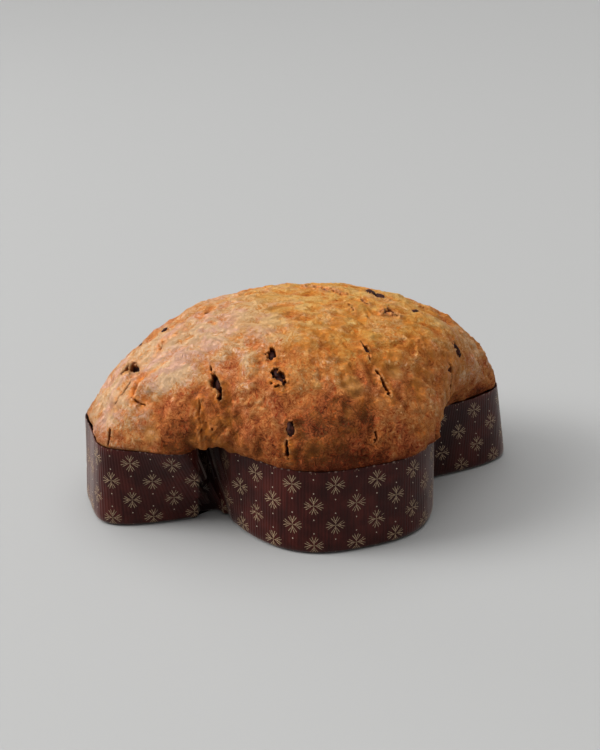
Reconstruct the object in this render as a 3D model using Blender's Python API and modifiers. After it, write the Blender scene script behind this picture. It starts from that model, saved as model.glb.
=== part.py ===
"""A colomba, the dove-shaped Easter cake, baked in its paper mould.

X runs from the tail (-X) to the head (+X), Y from wing to wing, and Z is up. The origin is on the
table, under the middle of the mould. All sizes are in metres.

The mould's plan is a cross of two bars with blunt ends: one runs from tail to head, one from wing
to wing. Each bar is a superellipse in polar form, and the wider of the two wins, with a small
round where they meet at the four necks. The cake fills the mould and domes above its rim, where
the cross swells into an oval.
"""

import math
import random

import bmesh
import bpy
import numpy as np
from mathutils import Matrix, Vector, noise

# Plan of the mould's foot: reach along the bar, half its breadth, squareness of its end
TAIL = (0.1490, 0.0395, 4.7)
HEAD = (0.1456, 0.0423, 4.1)
WING = (0.1082, 0.0719, 2.75)
NECK_SHARPNESS = 20.0

# The wall: its height, and how far its rim stands outside its foot
WALL_HEIGHT = 0.0550
FOOT_ROUND = 0.0045
RIM_LEAN = -0.0022
TAIL_NECK_LEAN = 0.0315
HEAD_NECK_LEAN = 0.0089
TAIL_END_LEAN = -0.0023
HEAD_END_LEAN = -0.0099
TAIL_NECK_ANGLE = math.radians(152.3)
HEAD_NECK_ANGLE = math.radians(27.7)
NECK_SPREAD = math.radians(11.1)
END_SPREAD = math.radians(20.0)
PAPER = 0.0007
CRUMB_GAP = 0.0011  # between the paper and the cake

# The pleat that the wall folds into at each tail neck: it deepens towards the rim
PLEAT_ANGLE = math.radians(146.4)
PLEAT_SPREAD = math.radians(2.4)
PLEAT_TURN = math.radians(65)  # it runs inwards at this angle to the length
PLEAT_FOOT_DEPTH = 0.0040
PLEAT_RIM_DEPTH = 0.0190
PLEAT_FADE_RISE = 0.07  # the dough closes over the pleat by this rise
OVER_RIM = 0.0008  # the dough stands this far over the rim before it swells out over it

# The dome: its height over the rim, and the oval that the cross swells into
DOME_HEIGHT = 0.0682
OVAL_TAIL = 0.1223
OVAL_HEAD = 0.1264
OVAL_WING = 0.0972
OVAL_SQUARENESS = 2.1
SHOULDER = 0.742  # under 1 fills the shoulders out
TAIL_END_SHOULDER = -0.074
TAIL_NECK_SHOULDER = 0.089
SHOULDER_SPREADS = (math.radians(30), math.radians(16))  # of the tail end's and the necks'
APEX_SHIFT = -0.0055
BULGE = 0.019
END_BULGE = -0.028  # takes the bulge back over the two ends
BULGE_RISE = 0.35
SWELL_RISE = 0.55  # share of the rise at which the cross has become the oval
FIRST_SWELL = 0.25
FIRST_SWELL_RISE = 0.12

# Uneven crust: wavelength and height of each wave of lumps
LUMPS = ((0.055, 0.0022), (0.026, 0.0010), (0.014, 0.0005))
NOISE_PLACE = Vector((3.1, 7.7, 1.9))

# Broad swells (+) and hollows (-): angle in degrees, rise, radius, height
SWELLS = (
    (-168, 0.33, 0.012, 0.0022),
    (-116, 0.10, 0.020, 0.0016),
    (-60, 0.12, 0.022, 0.0016),
    (84, 0.74, 0.012, 0.0016),
    (42, 0.80, 0.016, 0.0012),
    (120, 0.40, 0.024, 0.0020),
    (35, 0.45, 0.024, -0.0016),
)

# Creases where the dough of two limbs meets, each from the rim upwards:
# angle and rise at the foot and at the top, half width, depth
CREASES = (
    (-148, 0.02, -153, 0.50, 0.0060, 0.0042),
    (-33, 0.05, -24, 0.46, 0.0050, 0.0042),
    (148, 0.02, 154, 0.48, 0.0060, 0.0040),
    (31, 0.03, 25, 0.45, 0.0055, 0.0040),
)

# Tears in the crust: angle in degrees, rise, length, width, depth, tilt from straight up in degrees
TEARS = (
    (-145, 0.46, 0.021, 0.0036, 0.0060, -8),
    (176, 0.35, 0.012, 0.0060, 0.0040, 70),
    (-172, 0.25, 0.026, 0.0024, 0.0045, 12),
    (-37, 0.33, 0.024, 0.0030, 0.0055, 6),
    (-115, 0.14, 0.022, 0.0024, 0.0045, 0),
    (-74, 0.40, 0.013, 0.0024, 0.0040, 20),
    (-72, 0.62, 0.012, 0.0034, 0.0045, 14),
    (-85, 0.17, 0.010, 0.0022, 0.0040, 4),
    (38, 0.36, 0.022, 0.0030, 0.0050, -6),
    (96, 0.30, 0.018, 0.0028, 0.0045, 10),
    (146, 0.40, 0.020, 0.0032, 0.0055, 8),
)

# Fruit that shows at the crust: angle in degrees, rise
RAISINS = (
    (176, 0.352), (-147, 0.49), (-125, 0.64), (-121, 0.515), (-119, 0.495), (-114.5, 0.24),
    (-72, 0.625), (7, 0.79), (-15.5, 0.66), (1.5, 0.60), (-27.5, 0.43), (-37, 0.34), (-19.5, 0.25),
)
PEELS = (
    (-32, 0.855), (-26.5, 0.755), (-88.5, 0.424), (-57, 0.06), (0.5, 0.43), (166, 0.763), (176, 0.62),
)
RAISIN = (0.0090, 0.0060, 0.0052)
PEEL = (0.0085, 0.0065, 0.0040)
FAR_SIDE_RAISINS = 10
FAR_SIDE_PEELS = 5
FAR_SIDE_ANGLES = (18, 165)
FAR_SIDE_RISES = (0.12, 0.74)
FRUIT_SPACING = 0.017
FRUIT_SEED = 5

COLUMNS = 108
PLEAT_CROWDING = 1.2
FOOT_ROUND_STEPS = 3
WALL_SHARES = (0.4, 1.0)  # of the wall's height, where it has a ring
DOME_RINGS = 21


def smooth(x):
    """Eases from 0 at x = 0 to 1 at x = 1."""
    x = np.clip(x, 0, 1)
    return x * x * (3 - 2 * x)


def hump(angle, centre, spread):
    """A bell around a polar angle."""
    away = (angle - centre + math.pi) % (2 * math.pi) - math.pi
    return np.exp(-((away / spread) ** 2))


def superellipse(angle, along, across, squareness):
    along_part = np.abs(np.cos(angle) / along) ** squareness
    across_part = np.abs(np.sin(angle) / across) ** squareness
    return (along_part + across_part) ** (-1 / squareness)


def foot(angle):
    """Polar radius of the mould's plan at the table."""
    bar = np.where(np.cos(angle) < 0, superellipse(angle, *TAIL), superellipse(angle, *HEAD))
    wings = superellipse(angle, WING[1], WING[0], WING[2])
    return (bar**NECK_SHARPNESS + wings**NECK_SHARPNESS) ** (1 / NECK_SHARPNESS)


def lean(angle):
    """How far the rim stands outside the foot."""
    out = RIM_LEAN + TAIL_END_LEAN * hump(angle, math.pi, END_SPREAD)
    out = out + HEAD_END_LEAN * hump(angle, 0, END_SPREAD)
    for side in (-1, 1):
        out = out + TAIL_NECK_LEAN * hump(angle, side * TAIL_NECK_ANGLE, NECK_SPREAD)
        out = out + HEAD_NECK_LEAN * hump(angle, side * HEAD_NECK_ANGLE, NECK_SPREAD)
    return out


def pleats(angle, share):
    """How far the two pleats move the wall along X and Y, at a share of its height."""
    depth = PLEAT_FOOT_DEPTH + (PLEAT_RIM_DEPTH - PLEAT_FOOT_DEPTH) * share
    near, far = (depth * hump(angle, side * PLEAT_ANGLE, PLEAT_SPREAD) for side in (-1, 1))
    return (near + far) * math.cos(PLEAT_TURN), (near - far) * math.sin(PLEAT_TURN)


def wall(angle, share):
    """Plan points of the mould's wall at a share of its height."""
    radius = foot(angle) + lean(angle) * share
    in_x, in_y = pleats(angle, share)
    return radius * np.cos(angle) + in_x + middle_x(), radius * np.sin(angle) + in_y


def middle_x():
    """From the middle of the wings to the middle of the mould's length."""
    ends = np.array([math.pi, 0])
    tail, head = foot(ends) + lean(ends) * FOOT_ROUND / WALL_HEIGHT
    return (tail - head) / 2


def wall_ring(angle, height, inset):
    """A ring of the wall, moved inwards at right angles to it by the inset."""
    x, y = wall(angle, min(height / WALL_HEIGHT, 1))
    along_x, along_y = np.roll(x, -1) - np.roll(x, 1), np.roll(y, -1) - np.roll(y, 1)
    length = np.hypot(along_x, along_y)
    x, y = x - inset * along_y / length, y + inset * along_x / length
    return np.stack([x, y, np.full_like(x, height)], -1)


def even_angles(count):
    """Polar angles of points at equal steps along the rim, closer together in the pleats."""
    fine = np.linspace(-math.pi, math.pi, 4001)
    x, y = wall(fine, 1)
    near_pleats = sum(hump(fine, side * PLEAT_ANGLE, 2 * PLEAT_SPREAD) for side in (-1, 1))
    steps = np.hypot(np.diff(x), np.diff(y)) * (1 + PLEAT_CROWDING * near_pleats[1:])
    travelled = np.concatenate([[0], np.cumsum(steps)])
    return np.interp(np.arange(count) * travelled[-1] / count, travelled, fine)


def shoulder(angle):
    """The power that shapes the dome's slope: the lower, the fuller."""
    end_spread, neck_spread = SHOULDER_SPREADS
    power = SHOULDER + TAIL_END_SHOULDER * hump(angle, math.pi, end_spread)
    for side in (-1, 1):
        power = power + TAIL_NECK_SHOULDER * hump(angle, side * TAIL_NECK_ANGLE, neck_spread)
    return power


def dome_point(rise, angle):
    """Points of the smooth dome, from rise 0 at the rim to 1 at the top."""
    oval_reach = np.where(np.cos(angle) < 0, OVAL_TAIL, OVAL_HEAD)
    oval = superellipse(angle, oval_reach, OVAL_WING, OVAL_SQUARENESS)
    swell = FIRST_SWELL * np.clip(rise / FIRST_SWELL_RISE, 0, 1)
    swell = swell + (1 - FIRST_SWELL) * smooth(rise / SWELL_RISE)
    radius = (foot(angle) + lean(angle)) * (1 - swell) + oval * swell
    ends = hump(angle, math.pi, END_SPREAD) + hump(angle, 0, END_SPREAD)
    bulge = (BULGE + END_BULGE * ends) * np.sin(math.pi * np.clip(rise / BULGE_RISE, 0, 1))
    radius = radius * (1 + bulge) * np.cos(rise * math.pi / 2) ** shoulder(angle)
    in_x, in_y = pleats(angle, 1)
    left = 1 - smooth(rise / PLEAT_FADE_RISE)
    x = radius * np.cos(angle) + in_x * left + APEX_SHIFT * rise + middle_x()
    y = radius * np.sin(angle) + in_y * left
    height = WALL_HEIGHT + DOME_HEIGHT * np.sin(rise * math.pi / 2)
    return np.stack([x, y, height + 0 * x], -1)


def dome_axes(rise, angle):
    """A point of the dome, its outward normal and the direction straight up the slope there."""
    step = 0.004
    here = dome_point(rise, angle)
    up = dome_point(rise + step, angle) - dome_point(rise - step, angle)
    around = dome_point(rise, angle + step) - dome_point(rise, angle - step)
    normal = np.cross(around, up)
    normal /= np.linalg.norm(normal, axis=-1, keepdims=True)
    return here, normal, up / np.linalg.norm(up, axis=-1, keepdims=True)


def spot(angle_degrees, rise):
    """dome_axes at one place, as vectors."""
    place = dome_axes(np.float64(rise), np.float64(math.radians(angle_degrees)))
    return [Vector(v) for v in place]


def crust_height(points):
    """How far the uneven crust stands off the smooth dome."""
    height = np.zeros(len(points))
    for wavelength, lump in LUMPS:
        places = [Vector(p) / wavelength + NOISE_PLACE for p in points]
        height += lump * np.array([noise.noise(place) for place in places])
    for angle, rise, radius, swell in SWELLS:
        away = np.linalg.norm(points - np.array(spot(angle, rise)[0]), axis=-1)
        height += swell * np.exp(-((away / radius) ** 2))
    for angle, rise, top_angle, top_rise, half_width, depth in CREASES:
        start = np.array(spot(angle, rise)[0])
        run = np.array(spot(top_angle, top_rise)[0]) - start
        share = np.clip((points - start) @ run / (run @ run), 0, 1)
        away = np.linalg.norm(points - start - share[:, None] * run, axis=-1)
        height -= depth * (1 - share**2) * np.exp(-((away / half_width) ** 2))
    return height


def dome_ring(rise, rim_angles):
    """One ring of the crust. Its points spread evenly round the oval as the ring climbs."""
    even = rim_angles[0] + np.arange(len(rim_angles)) * 2 * math.pi / len(rim_angles)
    spread = smooth(rise / SWELL_RISE)
    points, normals, _ = dome_axes(rise, rim_angles * (1 - spread) + even * spread)
    relief = crust_height(points) * smooth(rise / 0.06)
    return points + normals * relief[:, None]


def side_rings(angles, floor, inset):
    """Rings from flat on the floor round the mould's lower edge and up to its rim."""
    rings = []
    radius = FOOT_ROUND - inset
    for i in range(FOOT_ROUND_STEPS + 1):
        turn = i / FOOT_ROUND_STEPS * math.pi / 2
        height = floor + radius * (1 - math.cos(turn))
        rings.append(wall_ring(angles, height, inset + radius * (1 - math.sin(turn))))
    rings += [wall_ring(angles, WALL_HEIGHT * share, inset) for share in WALL_SHARES]
    return rings


def loft(bm, rings):
    """Joins closed rings of points, each to the next, and gives back each ring's vertices.

    The strips of the wall are split along the same diagonal, so that paper and cake keep their
    gap where it twists. Those of the dome are split along the shorter one.
    """
    lofted = [[bm.verts.new(point) for point in ring] for ring in rings]
    for lower, upper in zip(lofted, lofted[1:]):
        on_wall = lower[0].co.z < WALL_HEIGHT
        for i in range(len(lower)):
            j = (i + 1) % len(lower)
            rising = (lower[i].co - upper[j].co).length
            falling = (lower[j].co - upper[i].co).length
            if on_wall or rising <= falling:
                bm.faces.new((lower[i], lower[j], upper[j]))
                bm.faces.new((lower[i], upper[j], upper[i]))
            else:
                bm.faces.new((lower[i], lower[j], upper[i]))
                bm.faces.new((lower[j], upper[j], upper[i]))
    return lofted


def close(bm, ring, centre, facing_up):
    """A fan from a centre point to a ring."""
    middle = bm.verts.new(centre)
    for i in range(len(ring)):
        pair = (ring[i], ring[(i + 1) % len(ring)])
        bm.faces.new((*(pair if facing_up else pair[::-1]), middle))


def material(name, colour, roughness):
    made = bpy.data.materials.new(name)
    made.use_nodes = True
    shader = made.node_tree.nodes["Principled BSDF"]
    shader.inputs["Base Color"].default_value = (*colour, 1)
    shader.inputs["Roughness"].default_value = roughness
    shader.inputs["Metallic"].default_value = 0
    return made


def finished(name, bm, collection, look):
    """The mesh as an object of the collection, shaded smooth except at its sharp edges."""
    mesh = bpy.data.meshes.new(name)
    bm.to_mesh(mesh)
    bm.free()
    mesh.shade_smooth()
    mesh.set_sharp_from_angle(angle=math.radians(50))
    if look:
        mesh.materials.append(look)
    made = bpy.data.objects.new(name, mesh)
    collection.objects.link(made)
    return made


def make_mould(collection, angles):
    """The paper mould: one skin of floor and wall, thickened inwards."""
    bm = bmesh.new()
    close(bm, loft(bm, side_rings(angles, 0, 0))[0], (middle_x(), 0, 0), facing_up=False)
    look = material("brown_paper", (0.035, 0.012, 0.010), 0.45)
    mould = finished("paper_mould", bm, collection, look)
    paper = mould.modifiers.new("paper", "SOLIDIFY")
    paper.thickness = PAPER
    paper.offset = -1
    return mould


def make_cake_body(collection, angles):
    """The closed body of the cake: floor, side against the paper, and dome."""
    inset = PAPER + CRUMB_GAP
    bm = bmesh.new()
    rings = side_rings(angles, inset, inset)
    rings.append(wall_ring(angles, WALL_HEIGHT + OVER_RIM, inset))
    for i in range(DOME_RINGS):
        share = (i + 0.35) / DOME_RINGS
        rings.append(dome_ring(1 - (1 - share) ** 1.25, angles))
    lofted = loft(bm, rings)
    close(bm, lofted[0], (middle_x(), 0, inset), facing_up=False)
    top = np.mean(rings[-1], axis=0) + np.array((0, 0, 0.0002))
    close(bm, lofted[-1], top, facing_up=True)
    return finished("cake", bm, collection, material("baked_crust", (0.42, 0.19, 0.07), 0.7))


def make_pebble(name, collection, size, matrix):
    """A small round body of the given length, breadth and thickness."""
    bm = bmesh.new()
    bmesh.ops.create_icosphere(bm, subdivisions=2, radius=0.5)
    bmesh.ops.scale(bm, vec=size, verts=bm.verts)
    bmesh.ops.transform(bm, matrix=matrix, verts=bm.verts)
    return finished(name, bm, collection, None)


def on_crust(angle, rise, tilt, lift):
    """A frame on the crust: X up the slope turned by the tilt, Z outwards, moved out by the lift."""
    place, normal, up = spot(angle, rise)
    relief = crust_height(np.array([place]))[0]
    across = normal.cross(up)
    turned = up * math.cos(tilt) + across * math.sin(tilt)
    axes = Matrix((turned, normal.cross(turned), normal)).transposed().to_4x4()
    return Matrix.Translation(place + normal * (relief + lift)) @ axes


def far_side_fruit(draw, count, taken):
    """Places on the side away from the named fruit, none near another."""
    places = []
    while len(places) < count:
        angle, rise = draw.uniform(*FAR_SIDE_ANGLES), draw.uniform(*FAR_SIDE_RISES)
        place = spot(angle, rise)[0]
        if all((place - other).length > FRUIT_SPACING for other in taken):
            taken.append(place)
            places.append((angle, rise))
    return places


def combine(body, tools, operation, solver):
    """One Boolean of the body with a collection, applied. The collection's objects are removed."""
    step = body.modifiers.new(operation.lower(), "BOOLEAN")
    step.operation = operation
    step.operand_type = "COLLECTION"
    step.collection = tools
    step.solver = solver
    bpy.context.view_layer.update()
    graph = bpy.context.evaluated_depsgraph_get()
    mesh = bpy.data.meshes.new_from_object(body.evaluated_get(graph))
    body.modifiers.clear()
    body.data = mesh
    for tool in list(tools.objects):
        bpy.data.objects.remove(tool)
    bpy.data.collections.remove(tools)


def make_tears(body):
    """Cuts the tears out of the crust."""
    tools = new_collection("tears")
    for i, (angle, rise, length, width, depth, tilt) in enumerate(TEARS):
        frame = on_crust(angle, rise, math.radians(tilt), 0)
        make_pebble(f"tear_{i}", tools, (length, width, 2 * depth), frame)
    combine(body, tools, "DIFFERENCE", "EXACT")


def make_fruit(body):
    """Fuses the raisins and the candied peel that show to the crust."""
    draw = random.Random(FRUIT_SEED)
    taken = [spot(*place)[0] for place in RAISINS + PEELS]
    kinds = (
        ("raisin", RAISIN, RAISINS + tuple(far_side_fruit(draw, FAR_SIDE_RAISINS, taken))),
        ("peel", PEEL, PEELS + tuple(far_side_fruit(draw, FAR_SIDE_PEELS, taken))),
    )
    tools = new_collection("fruit")
    for name, size, places in kinds:
        for i, (angle, rise) in enumerate(places):
            grown = Vector(size) * draw.uniform(0.85, 1.15)
            frame = on_crust(angle, rise, draw.uniform(-0.6, 0.6), -0.18 * grown.z)
            make_pebble(f"{name}_{i}", tools, grown, frame)
    combine(body, tools, "UNION", "EXACT")


def new_collection(name):
    made = bpy.data.collections.new(name)
    bpy.context.scene.collection.children.link(made)
    return made


def main():
    for old in list(bpy.data.objects):
        bpy.data.objects.remove(old)
    colomba = new_collection("colomba")
    angles = even_angles(COLUMNS)
    make_mould(colomba, angles)
    cake = make_cake_body(colomba, angles)
    make_tears(cake)
    make_fruit(cake)


main()
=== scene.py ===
import random
import time
from math import atan, cos, pi, radians, sin

import bmesh
import bpy
import numpy as np
from mathutils import Matrix, Vector, noise


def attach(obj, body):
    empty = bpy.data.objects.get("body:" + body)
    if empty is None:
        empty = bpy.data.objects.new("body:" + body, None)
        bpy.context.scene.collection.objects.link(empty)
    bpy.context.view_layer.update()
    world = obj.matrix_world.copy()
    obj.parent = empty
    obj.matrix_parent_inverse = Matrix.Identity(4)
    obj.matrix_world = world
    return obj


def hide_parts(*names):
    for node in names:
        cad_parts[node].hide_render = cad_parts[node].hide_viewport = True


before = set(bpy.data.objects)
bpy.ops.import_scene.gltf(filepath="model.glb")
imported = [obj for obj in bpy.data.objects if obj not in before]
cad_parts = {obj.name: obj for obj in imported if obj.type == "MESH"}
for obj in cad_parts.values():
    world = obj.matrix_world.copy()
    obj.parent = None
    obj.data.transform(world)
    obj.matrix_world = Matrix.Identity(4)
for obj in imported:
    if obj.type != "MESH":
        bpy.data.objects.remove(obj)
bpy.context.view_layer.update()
started = time.time()
mm = 0.001

# the mould: each bar's reach, half its breadth and squareness, then the wall and how far its rim leans out
mould = {
    "tail": (0.1490, 0.0395, 4.7),
    "head": (0.1456, 0.0423, 4.1),
    "wing": (0.1082, 0.0719, 2.75),
    "neckSharpness": 20.0,
    "height": 0.0550,
    "footRound": 0.0045,
    "rimLean": -0.0022,
    "tailEndLean": -0.0023,
    "headEndLean": -0.0099,
    "endSpread": radians(20.0),
    "tailNeckLean": 0.0315,
    "headNeckLean": 0.0089,
    "tailNeck": radians(152.3),
    "headNeck": radians(27.7),
    "neckSpread": radians(11.1),
    "pleat": radians(146.4),
    "pleatSpread": radians(2.4),
    "pleatTurn": radians(65),
    "pleatDepth": (0.0040, 0.0190),  # at the foot, at the rim
    "recess": (-0.0850, -0.0685),  # where the paper folds in between tail and wing
    "recessDepth": (0.0060, 0.0165),
    "recessEdges": (0.0035, 0.0030),
}

# the dome that rises from the rim and swells from the cross into an oval
dome = {
    "height": 0.0682,
    "tail": 0.1223,
    "head": 0.1264,
    "wing": 0.0972,
    "squareness": 2.1,
    "shoulder": 0.742,
    "tailEndShoulder": -0.074,
    "tailNeckShoulder": 0.089,
    "endSpread": radians(30),
    "neckSpread": radians(16),
    "apexShift": -0.0055,
    "bulge": 0.019,
    "endBulge": -0.028,
    "bulgeRise": 0.35,
    "swellRise": 0.55,
    "firstSwell": 0.25,
    "firstSwellRise": 0.12,
    "pleatFade": 0.07,
}


def smooth(x):
    x = np.clip(x, 0, 1)
    return x * x * (3 - 2 * x)


def bell(x):
    return np.exp(-(x**2))


def hump(angle, centre, spread):
    return bell(((angle - centre + pi) % (2 * pi) - pi) / spread)


def superellipse(angle, along, across, squareness):
    alongPart = np.abs(np.cos(angle) / along) ** squareness
    acrossPart = np.abs(np.sin(angle) / across) ** squareness
    return (alongPart + acrossPart) ** (-1 / squareness)


def footRadius(angle):
    tail, head = (superellipse(angle, *mould[end]) for end in ("tail", "head"))
    bar = np.where(np.cos(angle) < 0, tail, head)
    reach, breadth, squareness = mould["wing"]
    wings = superellipse(angle, breadth, reach, squareness)
    sharp = mould["neckSharpness"]
    return (bar**sharp + wings**sharp) ** (1 / sharp)


def rimLean(angle):
    out = mould["rimLean"] + mould["tailEndLean"] * hump(angle, pi, mould["endSpread"])
    out = out + mould["headEndLean"] * hump(angle, 0, mould["endSpread"])
    for side in (-1, 1):
        out = out + mould["tailNeckLean"] * hump(angle, side * mould["tailNeck"], mould["neckSpread"])
        out = out + mould["headNeckLean"] * hump(angle, side * mould["headNeck"], mould["neckSpread"])
    return out


def pleatMove(angle, share):
    atFoot, atRim = mould["pleatDepth"]
    depth = atFoot + (atRim - atFoot) * share
    near, far = (depth * hump(angle, side * mould["pleat"], mould["pleatSpread"]) for side in (-1, 1))
    return (near + far) * cos(mould["pleatTurn"]), (near - far) * sin(mould["pleatTurn"])


def recessShare(x):
    start, stop = mould["recess"]
    startEdge, stopEdge = mould["recessEdges"]
    return smooth((x - start) / startEdge) * smooth((stop - x) / stopEdge)


def recessMove(x, y, share):
    atFoot, atRim = mould["recessDepth"]
    return -np.sign(y) * (atFoot + (atRim - atFoot) * share) * recessShare(x)


ends = np.array([pi, 0])
endReach = footRadius(ends) + rimLean(ends) * mould["footRound"] / mould["height"]
middleX = float(endReach[0] - endReach[1]) / 2


def wallPlan(angle, height):
    share = np.clip(height / mould["height"], 0, 1)
    radius = footRadius(angle) + rimLean(angle) * share
    inX, inY = pleatMove(angle, share)
    x, y = radius * np.cos(angle) + inX + middleX, radius * np.sin(angle) + inY
    return x, y + recessMove(x, y, share)


def wallPoint(angle, height, outwards=0.0):  # a point of the wall, moved outwards in plan
    step = 0.002
    x, y = wallPlan(angle, height)
    xa, ya = wallPlan(angle + step, height)
    xb, yb = wallPlan(angle - step, height)
    alongX, alongY = xa - xb, ya - yb
    length = np.hypot(alongX, alongY)
    return np.stack([x + outwards * alongY / length, y - outwards * alongX / length, height + 0 * x], -1)


def domePoint(rise, angle):
    reach = np.where(np.cos(angle) < 0, dome["tail"], dome["head"])
    oval = superellipse(angle, reach, dome["wing"], dome["squareness"])
    swell = dome["firstSwell"] * np.clip(rise / dome["firstSwellRise"], 0, 1)
    swell = swell + (1 - dome["firstSwell"]) * smooth(rise / dome["swellRise"])
    radius = (footRadius(angle) + rimLean(angle)) * (1 - swell) + oval * swell
    atEnds = hump(angle, pi, mould["endSpread"]) + hump(angle, 0, mould["endSpread"])
    bulge = dome["bulge"] + dome["endBulge"] * atEnds
    bulge = bulge * np.sin(pi * np.clip(rise / dome["bulgeRise"], 0, 1))
    power = dome["shoulder"] + dome["tailEndShoulder"] * hump(angle, pi, dome["endSpread"])
    for side in (-1, 1):
        power = power + dome["tailNeckShoulder"] * hump(angle, side * mould["tailNeck"], dome["neckSpread"])
    radius = radius * (1 + bulge) * np.cos(rise * pi / 2) ** power
    inX, inY = pleatMove(angle, 1)
    left = 1 - smooth(rise / dome["pleatFade"])
    x = radius * np.cos(angle) + inX * left + dome["apexShift"] * rise + middleX
    y = radius * np.sin(angle) + inY * left
    y = y + recessMove(x, y, 1) * left
    return np.stack([x, y, mould["height"] + dome["height"] * np.sin(rise * pi / 2) + 0 * x], -1)


def domeAxes(rise, angle):  # point, outward normal, straight up the slope
    step = 0.004
    up = domePoint(rise + step, angle) - domePoint(rise - step, angle)
    around = domePoint(rise, angle + step) - domePoint(rise, angle - step)
    normal = np.cross(around, up)
    normal /= np.linalg.norm(normal, axis=-1, keepdims=True)
    return domePoint(rise, angle), normal, up / np.linalg.norm(up, axis=-1, keepdims=True)


def spot(angleDegrees, rise):
    return [np.array(v) for v in domeAxes(np.float64(rise), np.float64(radians(angleDegrees)))]


def farFrom(points, angleDegrees, rise, radius):  # distance from a spot, in radii of so many millimetres
    return np.linalg.norm(points - spot(angleDegrees, rise)[0], axis=-1) / (radius * mm)


def lengthSoFar(x, y):
    return np.concatenate([[0], np.cumsum(np.hypot(np.diff(x), np.diff(y)))])


def pointsAt(x, y=0, z=0):
    return np.stack(np.broadcast_arrays(x, y, z), -1)


def wave(points, wavelength, place=(0, 0, 0)):  # smooth noise from -1 to 1 at each point
    scaled = points / wavelength + np.array(place)
    return np.array([noise.noise(Vector(p)) for p in scaled])


def fill(piece, fields):  # stores numbers on a piece's points, for its look to read
    for name, values in fields.items():
        piece.data.attributes.new(name, "FLOAT", "POINT").data.foreach_set("value", values)


def newObject(mesh, look):
    mesh.update()
    mesh.shade_smooth()
    mesh.materials.append(look)
    made = bpy.data.objects.new(mesh.name, mesh)
    bpy.context.scene.collection.objects.link(made)
    return made


def newPiece(name, points, faces, look):
    mesh = bpy.data.meshes.new(name)
    mesh.from_pydata([tuple(p) for p in points], [], [tuple(f) for f in faces])
    return newObject(mesh, look)


def shellFaces(rows, count, low, high):  # squares between rings of points, closed to a point at each end
    here, after = np.arange(count), (np.arange(count) + 1) % count
    square = np.stack([here, after, after + count, here + count], -1)
    faces = np.concatenate([square + row * count for row in range(rows - 1)]).tolist()
    last = (rows - 1) * count
    faces += [(int(b), int(a), low) for a, b in zip(here, after)]
    return faces + [(int(a) + last, int(b) + last, high) for a, b in zip(here, after)]


class Wire:  # an output socket; Python's operators on it add Math nodes
    def __init__(self, tree, socket=None):
        self.tree, self.socket = tree, socket

    def add(self, kind, settings=None, sockets=None, out=0):
        made = self.tree.nodes.new("ShaderNode" + kind)
        for key, value in (settings or {}).items():
            if key == "stops":
                for _ in range(len(value) - 2):
                    made.color_ramp.elements.new(0.5)
                for stop, (place, colour) in zip(made.color_ramp.elements, value):
                    stop.position, stop.color = place, (*colour, 1)
            else:
                setattr(made, key, value)
        for key, value in (sockets or {}).items():
            if isinstance(value, Wire):
                self.tree.links.new(value.socket, made.inputs[key])
            else:
                made.inputs[key].default_value = value
        return Wire(self.tree, made.outputs[out])

    def sums(self, operation, first, second=0.0, clamp=False):
        return self.add("Math", {"operation": operation, "use_clamp": clamp}, {0: first, 1: second})

    def __add__(self, other):
        return self.sums("ADD", self, other)

    __radd__ = __add__

    def __sub__(self, other):
        return self.sums("SUBTRACT", self, other)

    def __rsub__(self, other):
        return self.sums("SUBTRACT", other, self)

    def __mul__(self, other):
        return self.sums("MULTIPLY", self, other)

    __rmul__ = __mul__

    def __abs__(self):
        return self.sums("ABSOLUTE", self)

    def clamped(self):
        return self.sums("ADD", self, 0.0, clamp=True)

    def band(self, low, high):  # 0 under low, 1 over high, eased between
        ease = {"interpolation_type": "SMOOTHSTEP"}
        return self.add("MapRange", ease, {"Value": self, "From Min": low, "From Max": high})

    def mixed(self, share, first, second, blend="MIX"):
        first, second = ((*c, 1) if isinstance(c, tuple) else c for c in (first, second))
        settings = {"data_type": "RGBA", "blend_type": blend, "clamp_factor": True}
        return self.add("Mix", settings, {0: share, 6: first, 7: second}, out=2)

    def noise(self, where, scale, detail=2.0, roughness=0.5, distortion=0.0):
        values = {"Vector": where, "Scale": scale, "Detail": detail, "Roughness": roughness}
        return self.add("TexNoise", None, {**values, "Distortion": distortion})

    def stretched(self, where, scale):
        return self.add("VectorMath", {"operation": "MULTIPLY"}, {0: where, 1: scale})

    def attribute(self, name):
        return self.add("Attribute", {"attribute_name": name}, out=2)


def newLook(name, constants):
    made = bpy.data.materials.new(name)
    made.use_nodes = True
    shader = made.node_tree.nodes["Principled BSDF"]
    for key, value in constants.items():
        shader.inputs[key].default_value = value
    wires = Wire(made.node_tree)
    return made, wires, wires.add("TexCoord", out=3)


def feed(look, sockets):
    shader = look.node_tree.nodes["Principled BSDF"]
    for key, wire in sockets.items():
        look.node_tree.links.new(wire.socket, shader.inputs[key])
    return look


case = {
    "columns": 2400,
    "wallRows": (0.0060, 0.012, 0.0175, 0.0195, 0.0215, 0.024, 0.032, 0.040, 0.047, 0.051, 0.0526, 0.0538),
    "innerRows": (0.046, 0.024, 0.006),
    "footSteps": 4,
    "paper": 0.0005,
    "flutePitch": 0.0021,
    "fluteDepth": 0.00028,
    "creaseHeight": 0.0210,
    "creaseDepth": 0.00030,
    "creaseSpread": 0.0014,
    "evenFoot": 0.006,  # the foot stays even on the table
    "sag": 0.00035,  # slow waves of the paper
    "rimWave": 0.0004,
    "stainDepth": 0.0022,  # fat from the dough along the rim
    "fleckDepth": 0.0003,
}


def evenRimAngles(count):  # polar angles at even steps along the mould's middle height
    fine = np.linspace(-pi, pi, 12001)
    lengths = lengthSoFar(*wallPlan(fine, mould["height"] / 2))
    return np.interp(np.arange(count) * lengths[-1] / count, lengths, fine), lengths[-1]


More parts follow.
